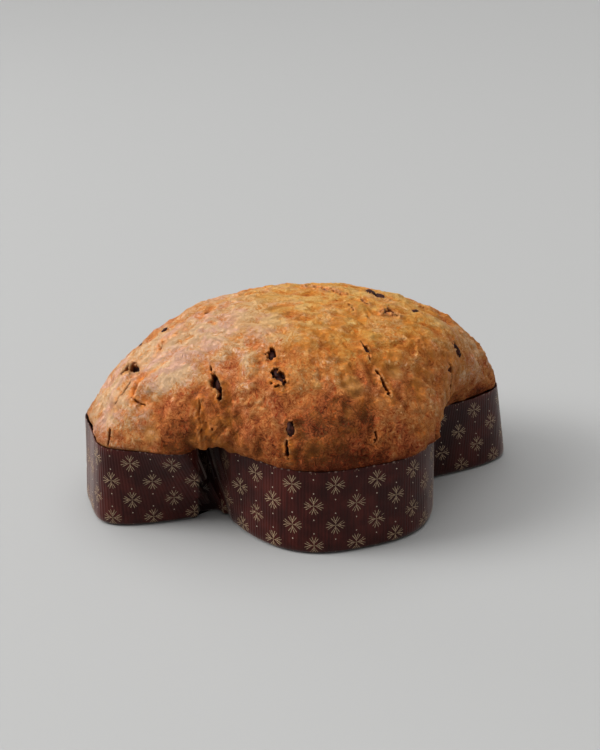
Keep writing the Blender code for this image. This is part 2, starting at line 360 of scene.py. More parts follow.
def paperOffset(u, v, angle):  # how far the paper stands off its even form, never outwards
    plain = np.stack([np.cos(angle) * 0.15, np.sin(angle) * 0.12, v], -1)
    slow = wave(plain, 0.032) + 0.5 * wave(plain, 0.014, (4, 1, 7))
    uneven = 0.6 + 0.4 * wave(pointsAt(u), 0.006, (2, 5, 1))
    phase = 2 * pi * u / case["flutePitch"] + 2.2 * wave(pointsAt(u, 3), 0.009)
    flute = (0.5 - 0.5 * np.cos(phase)) ** 2 * uneven
    patchy = np.clip(0.4 + 1.2 * wave(pointsAt(u, 0, 9), 0.045), 0, 1)
    crease = patchy * bell((v - case["creaseHeight"]) / case["creaseSpread"])
    fade = smooth(v / case["evenFoot"])
    inwards = -case["fluteDepth"] * flute - case["creaseDepth"] * crease
    return (inwards + case["sag"] * (slow * 0.6 - 1)) * fade


def casePoint(u, v, angle, outwards=0.0):  # v below the foot's round runs on round it to the floor
    foot = mould["footRound"]
    turn = np.clip((foot - v) / foot, 0, pi / 2)
    height = np.where(v < foot, foot * (1 - np.sin(turn)), v)
    inset = foot * (1 - np.cos(turn))
    moved = paperOffset(u, np.maximum(v, 0), angle) - inset + outwards * np.cos(turn)
    point = wallPoint(angle, height, moved)
    point[..., 2] -= outwards * np.sin(turn)
    return point


def caseRings(u, angles, rimTop):  # up the outside, over the rim and down the inside
    foot, paper = mould["footRound"], case["paper"]
    lowest = foot * (1 - pi / 2)
    outer = [lowest + (foot - lowest) * i / case["footSteps"] for i in range(case["footSteps"])]
    rings = [casePoint(u, v + 0 * u, angles) for v in outer + list(case["wallRows"])]
    rings += [casePoint(u, rimTop, angles), casePoint(u, rimTop, angles, -paper)]
    rings += [casePoint(u, v + 0 * u, angles, -paper) for v in case["innerRows"]]
    rings.append(wallPoint(angles, paper + 0 * u, -foot))
    return rings


def makeCase(look):
    count = case["columns"]
    angles, length = evenRimAngles(count)
    u = np.arange(count) * length / count
    rimTop = mould["height"] + case["rimWave"] * (wave(pointsAt(u), 0.011) - 0.3)
    rings = caseRings(u, angles, rimTop)
    points = np.concatenate(rings + [np.array([[middleX, 0, 0], [middleX, 0, case["paper"]]])])
    faces = shellFaces(len(rings), count, len(points) - 2, len(points) - 1)
    made = newPiece("paperCase", points, faces, look)
    made.data.set_sharp_from_angle(angle=radians(60))
    below = np.maximum(rimTop[None] - points[:-2, 2].reshape(len(rings), count), 0)
    blots = np.clip(0.25 + 1.3 * wave(pointsAt(u, 0, 5), 0.016), 0, 1)
    specks = np.clip(wave(pointsAt(u, 0, 2), 0.0022) * 3 - 0.4, 0, 1)
    # painted shade on the paper beside the head necks, where the wing shades it
    neckShade = 0.6 * (hump(angles, mould["headNeck"], 0.10) + hump(angles, -mould["headNeck"], 0.10))
    fields = {
        "stain": blots * bell(below / case["stainDepth"]),
        "fleck": specks * (below < case["fleckDepth"]),
        # painted shade: darker in the recess between tail and wing and beside the head necks
        "shade": np.maximum(recessShare(points[:-2, 0]), np.tile(neckShade, len(rings))),
    }
    fill(made, {name: np.append(values.ravel(), [0, 0]) for name, values in fields.items()})
    return made


def makePaperLook():
    coat = {"Coat Weight": 0.7, "Coat IOR": 1.22, "Coat Roughness": 0.24}
    sheen = {"Sheen Weight": 0.42, "Sheen Roughness": 0.3, "Sheen Tint": (1.0, 0.82, 0.72, 1.0)}
    look, w, where = newLook("brownPaper", {"Specular IOR Level": 0.06, **coat, **sheen})
    blotch = w.noise(where, 60, 3, 0.6)
    lines = w.noise(w.stretched(where, (620, 620, 14)), 1.0, 2, 0.7)
    grain = w.noise(where, 1500, 2, 0.6)
    colour = w.mixed(blotch.band(0.35, 0.7), (0.034, 0.0046, 0.0032), (0.072, 0.0110, 0.0075))
    colour = w.mixed(lines.band(0.42, 0.72) * 0.5, colour, (0.016, 0.0034, 0.0026))
    colour = w.mixed(w.attribute("stain") * 0.8, colour, (0.085, 0.0075, 0.0045))
    colour = w.mixed(w.attribute("fleck"), colour, (0.38, 0.26, 0.21))
    # painted shade: near black in the recess and darker beside the head necks
    colour = w.mixed(w.attribute("shade") * 0.8, colour, (0.004, 0.0015, 0.0012))
    bump = w.add("Bump", None, {"Strength": 0.6, "Distance": 0.0003, "Height": lines * 0.8 + grain * 0.2})
    return feed(look, {"Base Color": colour, "Roughness": blotch * 0.16 + 0.28, "Normal": bump})


# the snowflakes and dots on the case
printing = {
    "halfDrop": 0.01325,
    "lowRow": 0.0063,
    "columns": (-12, 13),  # more than fit, so that each limb is covered
    "rows": (-1, 3),
    # strokes of one arm, in millimetres: start along and across it, end along and across it, width
    "strokes": ((0.2, 0.0, 3.4, 0.0, 0.56), (2.4, 0.15, 5.9, 1.30, 0.48), (1.4, 0.25, 4.9, 2.65, 0.46)),
    "dotsAt": (0.0081, -0.0093),
    "dotSize": 0.00042,
    "dotSides": 6,
    "rimGap": 0.0006,
    "footGap": 0.0012,
    "lift": 0.00004,
    "segments": 6,
    # middle of each limb, first column from it, pitch, even columns' first row, angles where it ends
    "limbs": (
        (-pi, 0.0073, 0.0129, 0, -pi, radians(-143.6)),
        (-pi / 2, -0.0067, 0.0131, 0, radians(-143.6), radians(-33.5)),
        (0.0, -0.0560, 0.0145, 1, radians(-33.5), radians(33.5)),
        (pi / 2, 0.0067, 0.0131, 0, radians(33.5), radians(143.6)),
        (pi, -0.0073, 0.0129, 0, radians(143.6), pi),
    ),
}


def stroke(start, end, width):  # a tapered petal as two rails of points
    share = np.linspace(0, 1, printing["segments"] + 1)[:, None]
    start, end = np.array(start) * mm, np.array(end) * mm
    across = np.array([start[1] - end[1], end[0] - start[0]]) / np.hypot(*(end - start))
    half = width * mm / 2 * np.clip(np.minimum(0.45 + share, (1 - share) * 5 + 0.5), 0, 1)
    line = start + (end - start) * share
    return line - across * half, line + across * half


def snowflake():  # four arms, each a stem that forks, with a barb on either side
    rails = []
    for arm in range(4):
        turned = np.array([[0, 1], [-1, 0]]) if arm % 2 else np.eye(2)
        turned = turned * (1 if arm < 2 else -1)
        for along, across, endAlong, endAcross, width in printing["strokes"]:
            for side in (1, -1) if across else (1,):
                left, right = stroke((along, across * side), (endAlong, endAcross * side), width)
                rails.append((left @ turned, right @ turned))
    return rails


def arcTable(middle):  # arc length from a limb's middle, for each of a few heights
    fine = np.linspace(middle - 2.2, middle + 2.2, 3001)
    heights = np.linspace(0, mould["height"], 12)
    lengths = []
    for height in heights:
        length = lengthSoFar(*wallPlan(fine, height))
        lengths.append(length - np.interp(middle, fine, length))
    return fine, heights, lengths


def angleAt(table, u, v):
    fine, heights, lengths = table
    row = np.clip(v, 0, mould["height"] * 0.9999) / mould["height"] * (len(heights) - 1)
    low = row.astype(int)
    every = np.stack([np.interp(u, length, fine) for length in lengths])
    pick = np.arange(len(u))
    return every[low, pick] * (1 - (row - low)) + every[low + 1, pick] * (row - low)


def limbPattern(first, pitch, parity):  # flat points, faces by their numbers, and which points are dots
    turns = np.linspace(0, 2 * pi, printing["dotSides"] + 1)[:-1]
    dot = np.stack([np.cos(turns), np.sin(turns)], -1) * printing["dotSize"]
    flat, loops, isDot, total = [], [], [], 0
    for column in range(*printing["columns"]):
        u = first + column * pitch
        for row in range(*printing["rows"]):
            v = printing["lowRow"] + (2 * row + (column + parity) % 2) * printing["halfDrop"]
            for left, right in snowflake():
                n = len(left)
                flat.append(np.concatenate([left, right]) + (u, v))
                starts = range(total, total + n - 1)
                loops += [(i + 1, i, n + i, n + i + 1) for i in starts]
                isDot += [0.0] * 2 * n
                total += 2 * n
            for up in printing["dotsAt"]:
                flat.append(dot + (u, v + up))
                loops.append(tuple(range(total, total + len(dot))))
                isDot += [1.0] * len(dot)
                total += len(dot)
    return np.concatenate(flat), loops, np.array(isDot)


def makePrint(look):
    midAngles, length = evenRimAngles(case["columns"])
    wayRound = np.arange(case["columns"] + 1) * length / case["columns"]
    highest = mould["height"] - printing["rimGap"]
    lowest = mould["footRound"] * (1 - pi / 2) + printing["footGap"]
    points, faces, shade, bright, total = [], [], [], [], 0
    for middle, first, pitch, parity, start, stop in printing["limbs"]:
        flat, loops, isDot = limbPattern(first, pitch, parity)
        angles = angleAt(arcTable(middle), flat[:, 0], flat[:, 1])
        along = np.interp(angles, np.append(midAngles, pi), wayRound)
        inside = (angles >= start) & (angles <= stop) & (flat[:, 1] < highest) & (flat[:, 1] > lowest)
        placed = casePoint(along, flat[:, 1], angles, printing["lift"])
        kept = [loop for loop in loops if all(inside[i] for i in loop)]
        used = sorted({i for loop in kept for i in loop})
        renumber = {old: total + new for new, old in enumerate(used)}
        points.append(placed[used])
        # painted shade for the print in the recess
        shade.append(recessShare(placed[used, 0]))
        bright.append(isDot[used])
        faces += [tuple(renumber[i] for i in loop) for loop in kept]
        total += len(used)
    made = newPiece("snowflakePrint", np.concatenate(points), faces, look)
    fill(made, {"shade": np.concatenate(shade), "dot": np.concatenate(bright)})
    return made


def makePrintLook():
    look, w, where = newLook("goldPrint", {"Roughness": 0.45, "Specular IOR Level": 0.5})
    worn = w.noise(where, 900, 3, 0.7)
    colour = w.mixed(worn.band(0.42, 0.62), (0.40, 0.27, 0.155), (0.17, 0.10, 0.055))
    colour = w.mixed(w.attribute("dot"), colour, (0.55, 0.44, 0.33))
    # painted shade: the print darkened in the recess
    colour = w.mixed(w.attribute("shade") * 0.85, colour, (0.02, 0.014, 0.010))
    return feed(look, {"Base Color": colour})


crust = {
    "columns": 480,
    "sideLevels": (-1, -0.95, -0.90, -0.6, -0.2, -0.06, -0.02),
    "domeRings": 118,
    "halvedAt": (0.76, 0.915),  # rises above which every second column ends
    "topRise": 0.9950,
    "seam": radians(96),
    "weld": 0.00002,
    "fineWithin": (2.2, 0.9),  # millimetres from a tear, for each pass that splits the faces there
    "floorBelow": 0.030,
    "topAbove": 0.110,
    "inset": 0.0012,  # from the mould's outer face to the dough
    "soft": (0.1450, 0.1065, 0.1230),  # past these places it is pressed back
    "give": 0.0015,
    "lumps": ((0.055, 0.0022), (0.026, 0.0014), (0.014, 0.0014)),
    "wrinkles": ((0.0110, 0.0015), (0.0060, 0.0010), (0.0031, 0.00045)),
    "noisePlace": (3.1, 7.7, 1.9),
    "fold": (0.0065, 0.0015),  # breadth and depth of the stretch folds
    "rimLength": 0.82,
    "flankLength": 0.15,
    "puff": (0.0006, 0.0011),  # how far it swells out just over the paper, and how unevenly
    "shrunk": ((172, 14, 0.0034), (-11, 13, 0.0030)),  # angle and spread in degrees, gap to the paper
    "held": 0.0040,  # kept off the paper's folds where nothing shows
    "goldNecks": (-144, -33, 33, 144),
    # broad swells and hollows: angle in degrees, rise from rim to top, radius and height in millimetres
    "swells": (
        (-168, 0.33, 12, 1.4), (-116, 0.10, 20, 1.6), (-60, 0.12, 22, 1.6), (84, 0.74, 12, 1.6),
        (42, 0.80, 16, 1.2), (120, 0.40, 24, 2.0), (35, 0.45, 24, -1.6), (-166.2, 0.33, 5.2, 2.8),
        (166.5, 0.53, 4.5, 1.5), (167, 0.42, 5.5, 1.2), (124, 0.79, 2.6, 1.0), (-61, 0.70, 5.5, 1.5),
        (-28, 0.86, 5.0, 1.2), (-89, 0.415, 6.5, 0.9), (-3, 0.47, 3.5, 1.3), (-124, 0.42, 6.0, 1.3),
        (-67, 0.45, 5.0, -0.8), (-43, 0.54, 5.0, 0.8), (-131, 0.44, 6.0, 1.5), (-120, 0.60, 7.0, -0.7),
        (-100, 0.30, 10, 0.9), (-83, 0.62, 8.0, 0.7), (-106, 0.72, 8.0, 0.7), (-150, 0.62, 8.0, 0.9),
        (-163, 0.55, 7.0, 0.8), (-58, 0.02, 2.8, 2.2), (30, 0.62, 8, 1.0), (58, 0.30, 9, 1.3),
        (82, 0.42, 8, 1.1), (112, 0.24, 9, 1.2), (139, 0.30, 8, 1.3), (100, 0.60, 9, 1.0),
    ),
    # where the dough of two limbs meets: angle and rise at the foot and the top, half width, depth
    "creases": (
        ((-146, 0.02), (-150, 0.44), 4.6, 6.6),
        ((-33, 0.05), (-24, 0.46), 4.4, 5.8),
        ((148, 0.02), (154, 0.48), 6.0, 4.0),
        ((31, 0.03), (25, 0.45), 5.5, 4.0),
    ),
    # tears: places of angle and rise, half width, depth, lip, how ragged, how orange round it
    "tears": (
        ((175.8, 0.30), (176.6, 0.34), (179, 0.364), (184.5, 0.376), 3.1, 4.6, 1.0, 0.4, 0.4),
        ((175.5, 0.364), (179, 0.394), 0.7, 1.6, 0.3, 0.3, 0.3),
        ((-173.5, 0.32), (-173, 0.28), (-173, 0.24), 1.25, 3.0, 0.5, 0.3, 0.4),
        ((-172.5, 0.236), (-172.5, 0.196), (-172, 0.160), 0.9, 2.4, 0.3, 0.3, 0.3),
        ((-168.3, 0.268), (-165, 0.258), (-163, 0.256), 0.6, 1.3, 0.6, 0.4, 1.0),
        ((-169, 0.404), (-170.5, 0.368), (-170, 0.32), (-168.5, 0.275), 1.1, 1.0, 0.3, 0.4, 1.0),
        ((-169, 0.096), (-168, 0.056), (-167.5, 0.02), 1.0, 2.2, 0.3, 0.4, 0.3),
        ((-174.5, 0.05), (-173, 0.02), 0.6, 1.4, 0.2, 0.3, 0.2),
        ((165.5, 0.79), (165, 0.764), (169.5, 0.76), (174.5, 0.748), 0.9, 1.8, 0.4, 0.8, 0.6),
        ((179.5, 0.668), (180, 0.64), (178.5, 0.616), 0.9, 1.8, 0.3, 0.8, 0.5),
        ((178.5, 0.572), (180, 0.54), (182.5, 0.512), 1.2, 1.2, 0.3, 0.6, 0.8),
        ((-150, 0.528), (-147, 0.488), 0.5, 1.8, 0.5, 0.3, 0.6),
        ((-146.5, 0.484), (-143.5, 0.44), (-141.5, 0.396), (-140.5, 0.348), 2.2, 6.5, 1.6, 0.3, 1.0),
        ((-125.8, 0.67), (-124, 0.595), 2.6, 3.4, 0.4, 0.6, 1.3),
        ((-122.5, 0.55), (-119.5, 0.50), (-117.5, 0.45), 3.2, 3.8, 0.7, 0.8, 1.3),
        ((-114.7, 0.262), (-114.5, 0.20), 2.5, 3.0, 0.6, 0.5, 0.4),
        ((-115.5, 0.172), (-115.5, 0.12), (-115, 0.064), 0.8, 2.8, 0.7, 0.5, 0.8),
        ((66, 0.852), (45.5, 0.888), (27.5, 0.896), (10.5, 0.892), 2.6, 1.5, 3.0, 0.8, 1.5),
        ((14.5, 0.795), (5, 0.788), (-4, 0.772), 2.8, 2.6, 0.9, 0.8, 0.4),
        ((-25, 0.892), (-42.5, 0.856), 1.1, 2.6, 0.5, 0.8, 0.7),
        ((-10.5, 0.86), (-21.5, 0.836), 1.2, 2.6, 0.5, 0.7, 0.8),
        ((-34.5, 0.82), (-43, 0.796), 0.5, 1.2, 0.2, 1.2, 0.2),
        ((-32.5, 0.780), (-26.0, 0.757), (-31, 0.720), 2.4, 2.2, 1.2, 1.0, 1.0),
        ((-3.5, 0.656), (-6, 0.636), (-1, 0.568), 1.1, 1.6, 0.5, 0.6, 0.4),
        ((-16, 0.680), (-18.5, 0.650), 2.4, 2.4, 0.6, 0.5, 0.4),
        ((-71, 0.676), (-72, 0.644), 0.5, 1.5, 0.4, 0.4, 0.8),
        ((-72.5, 0.64), (-74, 0.575), 2.0, 4.4, 0.7, 0.3, 1.1),
        ((-74, 0.58), (-75.5, 0.54), 0.5, 1.6, 0.4, 0.4, 0.8),
        ((-74.5, 0.488), (-75, 0.44), (-75.5, 0.388), (-75.5, 0.336), 1.0, 3.4, 1.0, 0.3, 1.1),
        ((-27, 0.446), (-29, 0.365), 2.4, 3.6, 0.6, 0.3, 0.5),
        ((-37, 0.36), (-38, 0.27), 2.2, 4.8, 0.5, 0.3, 0.9),
        ((-38, 0.27), (-38.5, 0.18), (-40, 0.06), 1.0, 3.0, 0.6, 0.3, 1.0),
        ((-19, 0.256), (-18.5, 0.196), 0.7, 1.6, 0.2, 0.5, 0.4),
        ((-85.5, 0.188), (-86, 0.16), (-87, 0.128), 0.75, 2.4, 0.3, 0.4, 0.2),
        ((-60.5, 0.06), (-60.5, 0.015), 0.9, 3.0, 0.2, 0.4, 0.2),
        ((-44, 0.576), (-43.5, 0.536), (-42.5, 0.496), 0.9, 0.9, 0.3, 0.9, 0.6),
        ((-142, 0.19), (-142, 0.175), 0.9, 1.2, 0.2, 0.4, 0.3),
        # a shallow tear along the near crease: its dark line is painted shade in the fold
        ((-147.2, 0.34), (-146.6, 0.28), (-145.0, 0.17), (-145.3, 0.08), 0.6, 1.15, 0.4, 0.25, 0.7),
        # the far side
        ((38, 0.41), (38, 0.36), (37, 0.31), 1.2, 4.5, 0.8, 0.4, 0.6),
        ((96, 0.34), (97, 0.28), 1.0, 3.2, 0.5, 0.4, 0.5),
        ((146, 0.44), (145, 0.37), 1.4, 5.0, 0.9, 0.4, 0.6),
        ((62, 0.22), (62, 0.16), 0.8, 2.6, 0.4, 0.4, 0.5),
        ((118, 0.52), (121, 0.47), 1.6, 3.0, 0.5, 0.7, 0.7),
        ((66, 0.58), (71, 0.55), 1.4, 2.6, 0.5, 0.8, 0.8),
        ((22, 0.30), (21, 0.22), 0.8, 2.4, 0.4, 0.5, 0.5),
        ((160, 0.16), (161, 0.08), 0.8, 2.4, 0.4, 0.5, 0.4),
        ((130, 0.12), (130.5, 0.06), 0.7, 2.2, 0.3, 0.4, 0.3),
        ((104, 0.14), (105, 0.09), 0.8, 2.0, 0.4, 0.6, 0.4),
        ((50, 0.50), (55, 0.47), 1.5, 2.4, 0.5, 0.8, 0.9),
    ),
    # shallow furrows: places of angle and rise, half width, depth
    "furrows": (
        ((-169, 0.404), (-170.5, 0.368), (-170, 0.32), (-168.5, 0.268), 1.7, 1.8),
        ((-151, 0.348), (-146.5, 0.296), (-144, 0.208), (-144.5, 0.104), 1.9, 2.6),
        ((-142.5, 0.50), (-138, 0.40), (-135.5, 0.244), 1.8, 2.0),
        ((-139, 0.33), (-136, 0.22), (-132, 0.09), 1.2, 1.8),
        ((-140.5, 0.30), (-139, 0.20), (-136.5, 0.08), 1.0, 1.5),
        ((-91, 0.50), (-93, 0.44), (-90, 0.37), (-85, 0.36), 1.6, 1.7),
        ((-86.5, 0.548), (-85.5, 0.504), (-84.5, 0.456), (-84, 0.428), 1.1, 1.9),
        ((-104, 0.60), (-101, 0.52), (-103, 0.44), 1.4, 1.2),
        ((-131, 0.62), (-128, 0.54), (-130, 0.47), 1.6, 1.2),
        ((149.5, 0.892), (130, 0.912), (141, 0.956), 1.0, 0.5),
        ((-72.5, 0.36), (-71, 0.264), (-70.5, 0.108), 1.2, 1.5),
        ((-57, 0.40), (-52, 0.28), (-50, 0.12), 1.6, 1.3),
        ((-46, 0.42), (-44, 0.30), (-44, 0.14), 1.5, 1.4),
        ((-30, 0.30), (-31, 0.18), (-33, 0.06), 1.5, 0.9),
        ((-24, 0.26), (-25, 0.16), (-27, 0.06), 1.4, 0.7),
        ((-126, 0.24), (-125, 0.14), (-124, 0.05), 1.5, 0.7),
        ((150, 0.30), (145, 0.18), (144, 0.08), 2.2, 1.4),
        ((36, 0.28), (38, 0.18), (37, 0.06), 1.8, 1.0),
    ),
    # candied pieces under the skin: angle, rise, radius
    "underSkin": (
        (-28, 0.864, 7.0), (-89.5, 0.416, 7.0), (-61, 0.70, 5.0), (-67, 0.452, 5.0), (-159, 0.12, 5.5),
        (-150, 0.93, 8.0), (140, 0.92, 8.0), (-104, 0.45, 3.0), (70, 0.40, 6.0), (125, 0.33, 5.0),
    ),
    # browner and paler places, partly real baking and partly painted shade and light, such as the darker
    # tail flank by the near crease: angle, rise, radius, amount
    "bakeSpots": (
        (-104, 0.20, 24, 0.30), (-100, 0.02, 22, 0.30), (-124, 0.12, 16, 0.22), (-150, 0.10, 14, 0.62),
        (-142, 0.30, 9, 0.20), (-163, 0.40, 14, -0.56), (-162, 0.22, 10, -0.28), (-173, 0.16, 18, -0.62),
        (-178, 0.50, 20, -0.30), (177, 0.10, 20, -0.60), (171, 0.34, 20, -0.45), (-66, 0.10, 16, -0.10),
        (-44, 0.10, 12, -0.24), (-160, 0.62, 24, -0.22), (-112, 0.62, 14, 0.16), (-75, 0.55, 22, 0.16),
        (-20, 0.32, 22, -0.42), (-8, 0.12, 16, -0.24), (-120, 0.42, 12, 0.16), (-97, 0.33, 15, 0.26),
        (-66, 0.32, 10, 0.14), (-30, 0.75, 14, 0.10), (-128, 0.80, 20, -0.12), (150, 0.10, 14, 0.30),
    ),
    # yellow, barely baked patches: angle, rise, radius, strength
    "goldSpots": (
        (-110, 0.728, 14, 1.2), (-91, 0.75, 13, 1.1), (-66, 0.78, 16, 1.1), (-96, 0.56, 11, 0.6),
        (-43, 0.78, 14, 0.9), (-74, 0.65, 13, 1.1), (-70, 0.50, 13, 0.9), (-62, 0.34, 12, 0.8),
        (-55, 0.20, 12, 0.7), (-132, 0.10, 9, 0.8), (-40, 0.40, 12, 0.8), (-128, 0.70, 8, 0.5),
        (-139, 0.20, 8, 0.9), (-150, 0.44, 6, 0.4), (70, 0.75, 14, 0.8), (110, 0.62, 12, 0.7),
        (45, 0.55, 11, 0.6), (-39, 0.60, 9, 0.6), (-30, 0.15, 9, 0.8), (150, 0.66, 10, 0.6),
    ),
}

def pathPoints(places):
    return np.array([spot(angle, rise)[0] for angle, rise in places])


def alongPath(points, path):  # distance from a path and the share of the way along it
    lengths = np.linalg.norm(np.diff(path, axis=0), axis=-1)
    starts = np.concatenate([[0], np.cumsum(lengths)])
    nearest, share = np.full(len(points), 1e3), np.zeros(len(points))
    for i, run in enumerate(np.diff(path, axis=0)):
        along = np.clip((points - path[i]) @ run / (run @ run), 0, 1)
        away = np.linalg.norm(points - path[i] - along[:, None] * run, axis=-1)
        closer = away < nearest
        nearest = np.where(closer, away, nearest)
        share = np.where(closer, (starts[i] + along * lengths[i]) / starts[-1], share)
    return nearest, share


def broadRelief(points):
    height = sum(lump * wave(points, length, crust["noisePlace"]) for length, lump in crust["lumps"])
    for *place, swell in crust["swells"]:
        height += swell * mm * bell(farFrom(points, *place))
    for foot, top, halfWidth, depth in crust["creases"]:
        away, share = alongPath(points, pathPoints((foot, top)))
        height -= depth * mm * (1 - share**2) * bell(away / (halfWidth * mm))
    return height


def fineRelief(points):  # folds of the skin, sharper on their crests
    height = 0
    for i, (length, amount) in enumerate(crust["wrinkles"]):
        shaken = [wave(points, length * 1.7, (i, k, 3)) for k in range(3)]
        bent = points + 0.35 * length * np.stack(shaken, -1)
        height += amount * (0.6 - 1.6 * np.abs(wave(bent, length, (8, i, 2))))
    return height


def tornRelief(points, ragged):  # also how torn, how orange and how raised the skin is
    height, torn, glow, lipped = (np.zeros(len(points)) for _ in range(4))
    for tear in crust["tears"]:
        path = pathPoints(tear[:-5])
        halfWidth, depth, lip, rough, orange = tear[-5:]
        reach = (halfWidth + 6) * mm
        low, high = path.min(0) - reach, path.max(0) + reach
        near = np.where(((points > low) & (points < high)).all(1))[0]
        if not len(near):
            continue
        shift = ragged[near] * (0.35 + rough) * min(halfWidth, 1.6) * 1.5 * mm
        away, share = alongPath(points[near] + shift, path)
        width = halfWidth * mm * (0.25 + 0.75 * (4 * share * (1 - share)) ** 0.5)
        width = width * np.clip(1 + 0.9 * ragged[near, 0] * (0.5 + rough), 0.3, 2)
        inside = smooth((width - away) / (0.6 * mm) + 0.5)
        edge = bell((away - width - 0.6 * mm) / (0.9 * mm))
        uneven = np.clip(0.6 + 1.5 * ragged[near, 1], 0, 1.6)
        bottom = np.clip(1.2 - away / (width * 1.5), 0.25, 1)
        height[near] += lip * uneven * mm * edge * (1 - inside) - depth * mm * inside * bottom
        gaping = inside * (0.35 + 0.65 * bottom) * np.clip((depth - 0.6) / 2.0, 0, 1)
        torn[near] = np.maximum(torn[near], gaping)
        lipped[near] = np.maximum(lipped[near], edge * (1 - inside) * np.clip(lip * uneven, 0, 1))
        spread = bell(np.maximum(away - width, 0) / (3.2 * mm)) * np.clip(0.7 + ragged[near, 2], 0, 1.3)
        glow[near] = np.maximum(glow[near], orange * spread)
    return height, torn, glow, lipped


def foldRelief(share, rise):  # stretch folds that run down the lower flanks
    length, depth = crust["fold"]
    around, up = share * crust["rimLength"], rise * crust["flankLength"]
    bend = 0.004 * wave(pointsAt(around, up), 0.030, (1, 1, 4))
    folds = wave(pointsAt(around + bend, up * 0.22), length, (3, 8, 1))
    strong = np.clip(0.5 + 1.2 * wave(pointsAt(around, up, 1), 0.040), 0, 1)
    strong *= smooth(np.minimum(share - share.min(), share.max() - share) / 0.012)  # none at the seam
    return depth * (0.4 - np.abs(folds) * 1.6) * strong * (1 - smooth((rise - 0.30) / 0.35))


def furrowRelief(points):
    height, golden = np.zeros(len(points)), np.zeros(len(points))
    for furrow in crust["furrows"]:
        halfWidth, depth = furrow[-2:]
        away, share = alongPath(points, pathPoints(furrow[:-2]))
        line = bell(away / (halfWidth * mm)) * (4 * share * (1 - share)) ** 0.4
        height -= depth * mm * line
        golden = np.maximum(golden, line)
    return height, golden


rimFine = np.linspace(-pi, pi, 8001)
rimLengths = lengthSoFar(*wallPlan(rimFine, mould["height"]))
rimShare = rimLengths / rimLengths[-1]


def crustAngle(share, rise):  # columns start even along the rim and end even round the oval
    whole = np.floor(share)
    atRim = np.interp(share - whole, rimShare, rimFine) + 2 * pi * whole
    even = -pi + 2 * pi * share
    spread = smooth(rise / dome["swellRise"])
    return atRim * (1 - spread) + even * spread


def setback(angle):
    return sum(gap * hump(angle, radians(at), radians(spread)) for at, spread, gap in crust["shrunk"])


def smoothCrust(share, level):  # level below 0 is the side in the case, above 0 the rise of the dome
    rise = np.maximum(level, 0)
    angle = crustAngle(share, rise)
    points, normals, _ = domeAxes(rise, angle)
    back = setback(angle)
    points = points - normals * (back * (1 - smooth(rise / 0.25)))[:, None]
    height = crust["inset"] + (mould["height"] - crust["inset"]) * np.clip(1 + level, 0, 1)
    turn = np.clip(1 - (height - crust["inset"]) / mould["footRound"], 0, 1)
    inset = crust["inset"] + mould["footRound"] * (1 - np.sqrt(1 - turn**2))
    side = wallPoint(angle, height, -inset - back - crust["held"] * smooth(-level / 0.08))
    below = (level < 0)[:, None]
    blend = smooth(rise / 0.012)[:, None]
    edge = wallPoint(angle, mould["height"] + 0 * rise, -crust["inset"] - back)
    edge[:, 2] = points[:, 2]
    return np.where(below, side, edge * (1 - blend) + points * blend), normals, rise, angle


def paramGrid():  # a flat mesh: x is the share of the way round, y the level
    seamShare = float(np.interp(crust["seam"], rimFine, rimShare))
    ease = np.arange(crust["domeRings"] + 1) / crust["domeRings"]
    levels = np.concatenate([crust["sideLevels"], crust["topRise"] * (1 - (1 - ease) ** 1.18)])
    points, faces, below, cells = [], [], None, crust["columns"]
    for level in levels:
        halve = below is not None and any(below[1] < h <= level for h in crust["halvedAt"])
        cells = cells // 2 if halve else cells
        share = seamShare - 1 + np.arange(cells + 1) / cells
        first = sum(len(p) for p in points)
        points.append(np.stack([share, level + 0 * share, 0 * share], -1))
        for i in range(cells if below else 0):
            under = below[0] + i * (2 if halve else 1)
            left, right = first + i, first + i + 1
            if halve:
                faces += [(under, under + 1, left), (under + 1, right, left), (under + 1, under + 2, right)]
            else:
                faces.append((under, under + 1, right, left))
        below = (first, level)
    return np.concatenate(points), faces


def refine(bm):  # splits the faces near tears, so that their edges come out fine
    for reach in crust["fineWithin"]:
        bm.faces.ensure_lookup_table()
        middles = np.array([f.calc_center_median()[:2] for f in bm.faces])
        places = smoothCrust(middles[:, 0], middles[:, 1])[0]
        wanted = np.zeros(len(places), bool)
        for tear in crust["tears"]:
            path = pathPoints(tear[:-5])
            margin = (tear[-5] + reach) * mm
            near = np.where(((places > path.min(0) - margin) & (places < path.max(0) + margin)).all(1))[0]
            if len(near):
                wanted[near[alongPath(places[near], path)[0] < margin]] = True
        edges = {e for i in np.where(wanted)[0] for e in bm.faces[i].edges}
        bmesh.ops.subdivide_edges(bm, edges=list(edges), cuts=1, use_grid_fill=True)


def crustRelief(flat, base, rise):  # height along the normal, and what its look is told
    ragged = np.stack([wave(base, 0.0032, (k, 2, 9)) for k in range(3)], -1)
    raggedFine = np.stack([wave(base, 0.0013, (k, 6, 4)) for k in range(3)], -1)
    tearing, torn, glow, lipped = tornRelief(base, ragged + 0.5 * raggedFine)
    furrowing, golden = furrowRelief(base)
    skin = fineRelief(base) * (1 - 0.8 * torn)
    folding = foldRelief(flat[:, 0], rise)
    relief = (broadRelief(base) + furrowing) * smooth(rise / 0.06) + (skin + folding) * smooth(rise / 0.02)
    relief += tearing * smooth(rise / 0.015)
    swollen = crust["puff"][0] + crust["puff"][1] * wave(base, 0.009, (3, 3, 7))
    relief += swollen * smooth(rise / 0.008) * (1 - smooth((rise - 0.02) / 0.06))
    # painted shade: hollows of the skin and the furrows are painted browner
    hollowShade = 0.09 + 0.26 * np.clip(-(skin + folding) / 0.0012, -0.8, 1.0)
    hollowShade += 0.16 * np.clip(-furrowing / 0.0014, 0, 1)
    shows = flat[:, 1] > 0
    fields = {"torn": torn * shows, "glow": glow, "lip": lipped, "golden": golden}
    fields["bake"] = hollowShade * smooth(rise / 0.02)
    return np.where(shows, relief, 0), fields


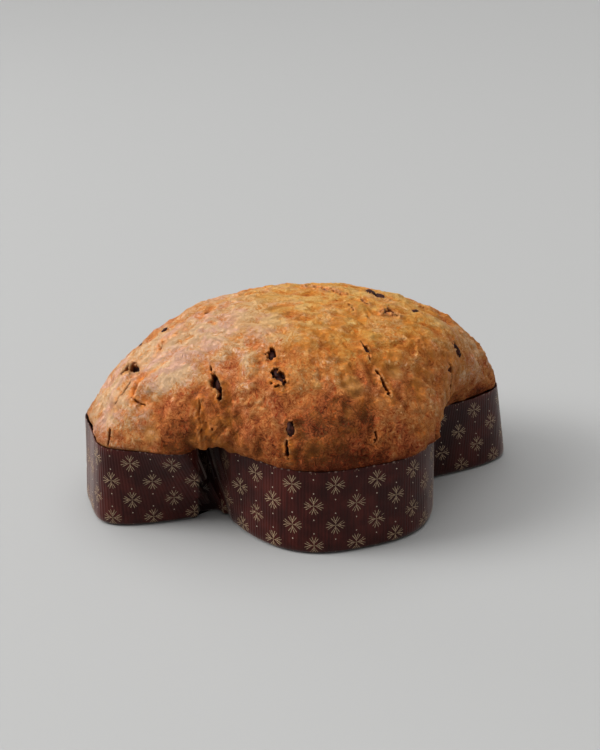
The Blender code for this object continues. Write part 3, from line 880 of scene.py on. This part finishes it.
def makeCrust(look):
    flatPoints, faces = paramGrid()
    mesh = bpy.data.meshes.new("crust")
    mesh.from_pydata(flatPoints.tolist(), [], faces)
    bm = bmesh.new()
    bm.from_mesh(mesh)
    refine(bm)
    bmesh.ops.triangulate(bm, faces=list(bm.faces))
    flat = np.array([v.co[:2] for v in bm.verts])
    base, normals, rise, angle = smoothCrust(flat[:, 0], flat[:, 1])
    print("crust grid of", len(base), "points", round(time.time() - started, 1), "s")
    relief, fields = crustRelief(flat, base, rise)
    placed = base + normals * relief[:, None]
    over = np.maximum(np.abs(placed) - crust["soft"], 0)
    placed -= np.sign(placed) * (over - crust["give"] * (1 - np.exp(-over / crust["give"])))
    fields["golden"] = goldenDough(base, rise, angle, fields["golden"])
    fields["bake"] = browning(base, rise, angle) + fields["bake"]
    fields["under"] = underTheSkin(base)
    fields["yellow"] = smooth((base[:, 0] + 0.07) / 0.08) * smooth((rise - 0.35) / 0.30)
    fields["edge"] = rimBake(base, rise, angle) * (flat[:, 1] > -0.04)
    for name, values in fields.items():
        layer = bm.verts.layers.float.new(name)
        for vert, value in zip(bm.verts, values.tolist()):
            vert[layer] = value
    for vert, point in zip(bm.verts, placed):
        vert.co = point
    closeCrust(bm, flat[:, 0])
    bm.to_mesh(mesh)
    bm.free()
    return newObject(mesh, look)


def closeCrust(bm, share):  # welds the seam, then closes the floor and the top
    bm.verts.ensure_lookup_table()
    atSeam = (share < share.min() + 1e-7) | (share > share.max() - 1e-7)
    bmesh.ops.remove_doubles(bm, verts=[bm.verts[i] for i in np.where(atSeam)[0]], dist=crust["weld"])
    rims = [e for e in bm.edges if e.is_boundary]
    low = [e for e in rims if e.verts[0].co.z < crust["floorBelow"]]
    high = [e for e in rims if e.verts[0].co.z > crust["topAbove"]]
    for rim in (low, high):
        middle = sum((v.co for e in rim for v in e.verts), Vector()) / (2 * len(rim))
        cap = bm.verts.new(middle)
        for layer in bm.verts.layers.float.values():
            cap[layer] = sum(v[layer] for e in rim for v in e.verts) / (2 * len(rim))
        for edge in rim:
            bm.faces.new((*edge.verts, cap))
    bmesh.ops.recalc_face_normals(bm, faces=bm.faces)


def browning(points, rise, angle):  # 0 is pale crust, 1 deep brown, with painted shade lower down on top of real browning
    low = 1 - smooth((rise - 0.06) / 0.55)
    bake = 0.16 + wave(points, 0.030, (5, 2, 8)) * 0.20 + wave(points, 0.012, (1, 9, 4)) * 0.15
    # darker lower down: partly real browning, partly painted shade on the lower flanks
    bake += 0.38 * (1 - smooth((rise - 0.22) / 0.62)) + 0.10 * (1 - smooth(rise / 0.30))
    farSide, headEnd = hump(angle, radians(85), radians(60)), hump(angle, 0, radians(30))
    bake += 0.20 * low * farSide + 0.06 * low * headEnd
    for *place, amount in crust["bakeSpots"]:
        bake += amount * bell(farFrom(points, *place))
    return np.clip(bake, 0, 1)


def rimBake(points, rise, angle):  # the dark band where the dough meets the hot paper
    wings = [hump(angle, radians(side), radians(30)) for side in (-95, 85)]
    strong = 0.55 + 0.45 * (wings[0] + wings[1])
    height = 0.062 + 0.040 * wave(points, 0.012, (7, 1, 1)) + 0.012 * wave(points, 0.004, (7, 7, 1))
    return strong * np.exp(-rise / np.maximum(height, 0.008))


def goldenDough(points, rise, angle, furrowed):  # stretched, under-baked dough at the necks and folds
    golden = 0.6 * furrowed
    low = 1 - smooth((rise - 0.05) / 0.35)
    for neck in crust["goldNecks"]:
        golden = np.maximum(golden, hump(angle, radians(neck), radians(7)) * low)
    for *place, amount in crust["goldSpots"]:
        golden = np.maximum(golden, amount * bell(farFrom(points, *place)))
    streaks = smooth(wave(points, 0.020, (6, 6, 1)) * 1.8)
    headwards = 0.32 * smooth((points[:, 0] + 0.06) / 0.05)
    golden = np.clip(golden + headwards * smooth((rise - 0.18) / 0.30) + 0.4 * streaks, 0, 1)
    return golden * np.clip(0.75 + 1.1 * wave(points, 0.007, (4, 4, 2)), 0, 1.2)


def underTheSkin(points):
    shown = np.zeros(len(points))
    for place in crust["underSkin"]:
        shown = np.maximum(shown, np.exp(-(farFrom(points, *place) ** 4)))
    return shown


def makeCrustLook():
    look, w, where = newLook("bakedCrust", {"Specular IOR Level": 0.06, "Coat Roughness": 0.38})
    swirl = w.add("TexNoise", None, {"Vector": where, "Scale": 170.0, "Detail": 1.0}, out=1)
    bent = w.add("VectorMath", {"operation": "MULTIPLY_ADD"}, {0: swirl, 1: (0.015,) * 3, 2: where})
    first = w.noise(bent, 470, 2, 0.55)
    second = w.noise(w.stretched(bent, (400, 880, 640)), 1.0, 2, 0.6)
    fibres = first * 0.5 + second * 0.5
    threads = w.sums("MAXIMUM", *((1 - abs(grain * 2 - 1) * 7).clamped() for grain in (first, second)))
    fine = w.noise(where, 1000, 2, 0.6, 1.0)
    patch = w.noise(where, 95, 3, 0.6, 0.8)
    freckle = w.noise(where, 300, 2, 0.5, 0.6)
    # the baked colour here carries real browning and painted shade in hollows and on the lower flanks
    bake = w.attribute("bake") + (patch - 0.5) * 0.65 + (freckle - 0.5) * 0.35 + (fibres - 0.5) * 1.9
    bake = (bake + (fine - 0.5) * 0.20).clamped()
    ramp = (
        (0.0, (0.84, 0.53, 0.260)), (0.22, (0.76, 0.335, 0.098)), (0.45, (0.66, 0.190, 0.038)),
        (0.68, (0.47, 0.085, 0.0155)), (0.85, (0.27, 0.036, 0.0072)), (1.0, (0.10, 0.012, 0.003)),
    )
    colour = w.add("ValToRGB", {"stops": ramp}, {"Fac": bake})
    rosy = w.noise(where, 60, 3, 0.55, 0.6).band(0.46, 0.60)
    colour = w.mixed(rosy * 0.8, colour, (0.97, 0.84, 1.12), "MULTIPLY")
    golden = w.attribute("golden") * (0.5 + patch.band(0.40, 0.62) * 0.6)
    golden = (golden * (1 - rosy * 0.4)).clamped()
    colour = w.mixed(golden * 0.9, colour, (0.74, 0.225, 0.020))
    colour = w.mixed(threads * (0.36 - bake * 0.20), colour, (0.84, 0.44, 0.12))
    colour = w.mixed(w.attribute("under") * 0.55, colour, (0.68, 0.31, 0.052))
    tint = w.mixed(w.attribute("yellow"), (0.97, 1.0, 1.24), (1.0, 1.0, 0.72))
    colour = w.mixed(1.0, colour, tint, "MULTIPLY")
    glow = w.attribute("glow")
    colour = w.mixed((glow * 0.9).clamped(), colour, (0.90, 0.265, 0.024))
    # paler raised lips round the tears: partly paler crust, partly a painted highlight
    colour = w.mixed(w.attribute("lip") * 0.5, colour, (0.86, 0.50, 0.20))
    depth = w.attribute("torn")
    # painted shade: the inside of tears darkens with depth, to near black at the bottom
    colour = w.mixed(depth.band(0.08, 0.40), colour, (0.26, 0.060, 0.012))
    colour = w.mixed(depth.band(0.38, 0.85), colour, (0.028, 0.0060, 0.0045))
    colour = w.mixed(w.attribute("edge") * 0.9, colour, (0.090, 0.0105, 0.0026))
    height = threads * 0.45 + fine * 0.4 + freckle * 0.7 + fibres * 1.2
    bump = w.add("Bump", None, {"Strength": 1.0, "Distance": 0.0011, "Height": height})
    rough = 0.74 - glow * 0.25 - golden * 0.12 + (fine - 0.5) * 0.15
    coat = glow * 0.35 + golden * 0.18 + w.attribute("under") * 0.2
    return feed(look, {"Base Color": colour, "Roughness": rough, "Coat Weight": coat, "Normal": bump})


fruit = {
    "rings": 14,
    "around": 22,
    # half length, breadth and thickness in millimetres; power 1 is round, less is squarer
    "raisins": {"half": (4.6, 2.4, 2.0), "power": 1.0, "wrinkle": 0.45, "seed": 11},
    "candiedPeel": {"half": (3.6, 2.8, 2.2), "power": 0.6, "wrinkle": 0.25, "seed": 12},
    # angle, rise, size, turn from straight up the slope, millimetres that the middle stands out
    "raisinsAt": (
        (-143.2, 0.43, 1.0, 15, -3.2), (-124.7, 0.63, 0.85, 10, -1.8), (-120.7, 0.525, 0.85, 30, -1.7),
        (-118.9, 0.48, 0.9, 60, -1.6), (-114.5, 0.228, 1.0, 10, -0.6), (-73.1, 0.61, 0.85, 10, -1.7),
        (9.5, 0.793, 1.35, 75, 0.4), (-0.5, 0.78, 1.2, 100, 0.2), (-17.5, 0.665, 1.0, 70, -0.1),
        (-28, 0.405, 1.15, 5, -0.7), (-37.7, 0.31, 0.9, 0, -1.8), (165.5, 0.545, 0.8, 60, -0.6),
        (-60.5, 0.035, 0.5, 0, -1.6), (167.5, 0.43, 0.8, 30, -0.8), (-6, 0.86, 0.6, 20, -0.5),
        (119.5, 0.495, 1.0, 40, -1.8), (68.5, 0.565, 1.0, 60, -1.7), (38, 0.36, 0.9, 10, -2.4),
        (145.5, 0.405, 1.0, 5, -2.4), (97, 0.31, 0.9, 15, -1.9), (104.5, 0.115, 0.8, 20, -1.2),
        (52.5, 0.485, 0.9, 60, -1.6),
    ),
    "candiedPeelAt": (
        (-26.5, 0.862, 1.1, 20, -2.3), (-28.5, 0.752, 0.9, 60, -1.3), (-33, 0.735, 0.7, 10, -1.2),
        (-3.5, 0.47, 0.8, 30, -1.6), (-57.5, 0.018, 1.0, 0, -0.6), (124, 0.79, 0.6, 0, -1.2),
        (84, 0.745, 0.9, 50, -1.3), (86.5, 0.755, 0.8, 10, -1.0), (30, 0.893, 0.8, 80, -0.8),
        (44, 0.885, 0.7, 20, -0.8), (57, 0.868, 0.7, 50, -0.8), (58, 0.46, 0.8, 40, -1.3),
        (128, 0.45, 0.9, 15, -1.9), (-147.5, 0.50, 0.5, 10, -1.2),
    ),
}


def fruitBody(half, power, wrinkle, seed):
    level, turn = np.meshgrid(
        np.linspace(-pi / 2, pi / 2, fruit["rings"] + 1)[1:-1],
        np.linspace(0, 2 * pi, fruit["around"] + 1)[:-1],
        indexing="ij",
    )

    def squared(value):
        return np.sign(value) * np.abs(value) ** power

    girth = squared(np.cos(level))
    ball = [girth * squared(np.cos(turn)), girth * squared(np.sin(turn)), squared(np.sin(level))]
    ball = np.stack(ball, -1).reshape(-1, 3)
    poles = np.array([[0, 0, -1], [0, 0, 1]], float)
    ball = np.concatenate([ball, poles])[:, [2, 0, 1]]  # the poles lie at the two ends of its length
    folds = np.abs(wave(ball * (0.7, 2.0, 2.0), 1.0, (seed, 3, 1)))
    folds = folds + 0.5 * np.abs(wave(ball, 0.42, (2, seed, 5)))
    points = ball * np.array(half) * mm * (1 + wrinkle * (0.35 - folds))[:, None]
    return points, shellFaces(fruit["rings"] - 1, fruit["around"], len(points) - 2, len(points) - 1)


def makeFruit(name, look):
    kind = fruit[name]
    draw = random.Random(kind["seed"])
    points, faces, total = [], [], 0
    for angle, rise, size, turn, lift in fruit[name + "At"]:
        grown = [half * size * draw.uniform(0.92, 1.08) for half in kind["half"]]
        body, loops = fruitBody(grown, kind["power"], kind["wrinkle"], draw.uniform(0, 40))
        place, normal, up = spot(angle, rise)
        relief = float(broadRelief(place[None])[0]) * float(smooth(rise / 0.06))
        turned = radians(turn)
        across = np.cross(normal, up)
        along = up * cos(turned) + across * sin(turned)
        axes = np.stack([along, np.cross(normal, along), normal])
        points.append(body @ axes + place + normal * (relief + lift * mm))
        faces += [tuple(i + total for i in loop) for loop in loops]
        total += len(body)
    return newPiece(name, np.concatenate(points), faces, look)


def makeRaisinLook():
    look, w, where = newLook("raisinSkin", {"Roughness": 0.50, "Specular IOR Level": 0.12})
    shade = w.noise(where, 500, 3, 0.6)
    colour = w.mixed(shade.band(0.35, 0.7), (0.012, 0.0030, 0.0025), (0.060, 0.013, 0.007))
    grain = w.noise(where, 900, 2, 0.6, 0.5)
    bump = w.add("Bump", None, {"Strength": 0.5, "Distance": 0.0004, "Height": grain})
    return feed(look, {"Base Color": colour, "Normal": bump})


def makePeelLook():
    look, w, where = newLook("candiedPeel", {"Roughness": 0.38, "Specular IOR Level": 0.3})
    shade = w.noise(where, 420, 3, 0.6)
    colour = w.mixed(shade.band(0.35, 0.7), (0.42, 0.12, 0.022), (0.62, 0.26, 0.05))
    bump = w.add("Bump", None, {"Strength": 0.4, "Distance": 0.0004, "Height": w.noise(where, 1100, 2)})
    return feed(look, {"Base Color": colour, "Normal": bump})


studio = {
    "floor": (0.405, 0.405, 0.400),
    "halfFloor": 60,
    "world": 0.25,
    # kind, place to the right of, away from the camera and above the cake, power, size
    "lights": {
        "overhead": ("SUN", (-0.2, 0.15, 2.0), 1.85, radians(75)),
        "key": ("SUN", (-1.6, 0.0, 1.25), 1.45, radians(36)),
        "side": ("SUN", (-1.2, 1.3, 0.45), 0.45, radians(30)),
        "window": ("AREA", (-3.3, -0.3, 2.3), 66.0, 1.5),
    },
}

shot = {
    "distance": 0.76,
    "elevation": radians(28.0),
    "azimuth": radians(20.06),
    "focalPixels": 1096.59,
    "frameSize": (600, 750),
    "middlePixel": (306.5, 470.15),  # where the middle of the mould's foot falls in the frame
}


def cameraAxes():  # to the right, away from the camera, both level
    turn = shot["azimuth"]
    return np.array([cos(turn), -sin(turn), 0]), np.array([sin(turn), cos(turn), 0])


def makeCamera():
    right, away = cameraAxes()
    width, height = shot["frameSize"]
    pitch = shot["elevation"] - atan((shot["middlePixel"][1] - height / 2) / shot["focalPixels"])
    yaw = atan((shot["middlePixel"][0] - width / 2) / shot["focalPixels"])
    ahead = away * cos(yaw) - right * sin(yaw)
    sideways = right * cos(yaw) + away * sin(yaw)
    forward = ahead * cos(pitch) - np.array([0, 0, sin(pitch)])
    upwards = np.cross(sideways, forward)
    place = -away * cos(shot["elevation"]) + np.array([0, 0, sin(shot["elevation"])])
    data = bpy.data.cameras.new("camera")
    data.sensor_width = 36
    data.lens = shot["focalPixels"] * data.sensor_width / max(shot["frameSize"])
    camera = bpy.data.objects.new("camera", data)
    bpy.context.scene.collection.objects.link(camera)
    turned = Matrix((sideways, upwards, -forward)).transposed().to_4x4()
    camera.matrix_world = Matrix.Translation(place * shot["distance"] + np.array([middleX, 0, 0])) @ turned
    bpy.context.scene.camera = camera


def makeLight(name, kind, place, power, size):
    right, away = cameraAxes()
    data = bpy.data.lights.new(name, kind)
    data.energy = power
    setattr(data, "angle" if kind == "SUN" else "size", size)
    light = bpy.data.objects.new(name, data)
    bpy.context.scene.collection.objects.link(light)
    light.location = right * place[0] + away * place[1] + np.array([0, 0, place[2]])
    light.rotation_euler = (Vector((0, 0, 0.05)) - light.location).to_track_quat("-Z", "Y").to_euler()


def makeStudio():
    grey = {"Base Color": (*studio["floor"], 1), "Roughness": 0.7, "Specular IOR Level": 0.2}
    half = studio["halfFloor"]
    corners = [(-half, -half, 0), (half, -half, 0), (half, half, 0), (-half, half, 0)]
    floor = newPiece("floor", corners, [(0, 1, 2, 3)], newLook("studioFloor", grey)[0])
    world = bpy.data.worlds.new("studio")
    bpy.context.scene.world = world
    world.use_nodes = True
    sky = world.node_tree.nodes["Background"].inputs
    sky["Color"].default_value = (1, 1, 1, 1)
    sky["Strength"].default_value = studio["world"]
    for name, settings in studio["lights"].items():
        makeLight(name, *settings)
    bpy.context.scene.view_settings.view_transform = "Standard"


def stageDone(name):
    print(name, "done after", round(time.time() - started, 1), "s")


def addPiece(piece, slot, *nodes):
    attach(piece, "root")
    if nodes:
        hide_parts(*nodes)
    piece.data.validate()
    stageDone(piece.name + " (" + str(len(piece.data.polygons)) + " faces)")


makeCamera()
makeStudio()
addPiece(makeCase(makePaperLook()), "brown_paper", "paper_mould")
addPiece(makePrint(makePrintLook()), "brown_paper")
addPiece(makeCrust(makeCrustLook()), "baked_crust", "cake")
addPiece(makeFruit("raisins", makeRaisinLook()), "baked_crust")
addPiece(makeFruit("candiedPeel", makePeelLook()), "baked_crust")
